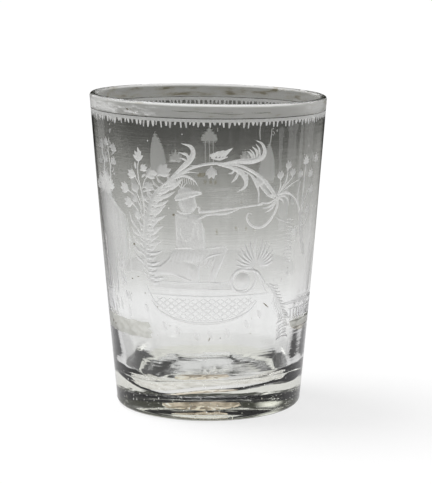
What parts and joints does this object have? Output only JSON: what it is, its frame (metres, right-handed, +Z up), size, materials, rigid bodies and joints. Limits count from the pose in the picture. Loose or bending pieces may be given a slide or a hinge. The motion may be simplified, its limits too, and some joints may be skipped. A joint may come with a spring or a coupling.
{
  "type": "glass beaker",
  "caption": "Conical drinking beaker of thick clear hand-blown glass with a rounded lip, a heavy base with a pontil mark, and wheel-engraved ornament; stands on a flat foot ring.",
  "frame": {"origin": "centre of the foot, on the surface that the beaker stands on", "axes": "+Z up along the beaker's axis, out of its mouth; -Y towards the viewer of the main engraved scene; +X to that viewer's right"},
  "size_m": [0.086, 0.086, 0.1146],
  "materials": {
    "clear_glass": "fire-polished clear glass with a faint grey tone",
    "ground_glass": "matt ground glass, as a copper engraving wheel leaves it"
  },
  "bodies": {
    "root": {"beaker": "clear_glass"}
  },
  "joints": []
}
